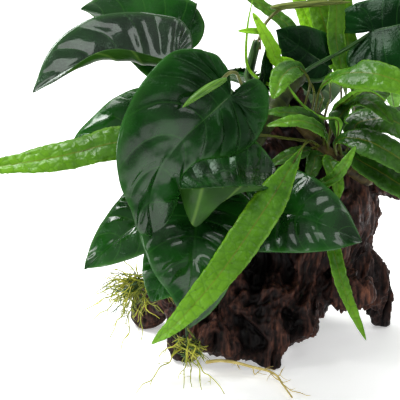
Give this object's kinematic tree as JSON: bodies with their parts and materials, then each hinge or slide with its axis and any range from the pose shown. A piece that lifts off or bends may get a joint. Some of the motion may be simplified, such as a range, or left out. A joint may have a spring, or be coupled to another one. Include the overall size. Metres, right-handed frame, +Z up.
{
  "type": "anubias and java fern on driftwood",
  "caption": "Broad heart-leaved anubias with java fern fronds and fine roots, grown on a dark gnarled driftwood stump that stands on its cut root ends.",
  "frame": {"origin": "middle of the flat cut under the stump's heel, at the surface the stump stands on", "axes": "+Z up, -Y toward the front, +X to the right of the front"},
  "size_m": [0.324, 0.248, 0.25],
  "materials": {
    "anubias_green": "glossy",
    "rhizome": "satin",
    "fern_green": "satin",
    "fern_rhizome": "rough",
    "old_leaf": "satin",
    "roots": "matt",
    "new_leaf": "satin",
    "driftwood": "wet, rough"
  },
  "bodies": {
    "root": {"anubias_leaf_01": "anubias_green", "anubias_leaf_02": "anubias_green", "anubias_leaf_03": "anubias_green", "anubias_leaf_04": "anubias_green", "anubias_leaf_05": "anubias_green", "anubias_leaf_06": "anubias_green", "anubias_leaf_07": "anubias_green", "anubias_leaf_08": "anubias_green", "anubias_leaf_09": "anubias_green", "anubias_leaf_10": "anubias_green", "anubias_leaf_11": "anubias_green", "anubias_leaf_12": "anubias_green", "anubias_leaf_13": "anubias_green", "anubias_leaf_14": "anubias_green", "anubias_leaf_15": "anubias_green", "anubias_leaf_16": "anubias_green", "anubias_rhizome": "rhizome", "fern_frond_01": "fern_green", "fern_frond_02": "fern_green", "fern_frond_03": "fern_green", "fern_frond_04": "fern_green", "fern_frond_05": "fern_green", "fern_frond_06": "fern_green", "fern_frond_07": "fern_green", "fern_frond_08": "fern_green", "fern_frond_09": "fern_green", "fern_frond_10": "fern_green", "fern_frond_11": "fern_green", "fern_frond_12": "fern_green", "fern_frond_13": "fern_green", "fern_frond_14": "fern_green", "fern_frond_15": "fern_green", "fern_frond_16": "fern_green", "fern_frond_17": "fern_green", "fern_frond_18": "fern_green", "fern_frond_19": "fern_green", "fern_frond_20": "fern_green", "fern_frond_21": "fern_green", "fern_frond_22": "fern_green", "fern_frond_23": "fern_green", "fern_frond_24": "fern_green", "fern_frond_25": "fern_green", "fern_frond_26": "fern_green", "fern_rhizome": "fern_rhizome", "leaf_sheath": "old_leaf", "long_root": "roots", "new_leaf_low": "new_leaf", "new_leaf_top": "new_leaf", "root_tuft_front": "roots", "root_tuft_left": "roots", "wood_arm_right": "driftwood", "wood_heel": "driftwood", "wood_leg_back": "driftwood", "wood_leg_front": "driftwood", "wood_leg_left": "driftwood", "wood_leg_left_front": "driftwood", "wood_leg_right": "driftwood", "wood_shoulder_left": "driftwood", "wood_trunk": "driftwood"}
  },
  "joints": []
}
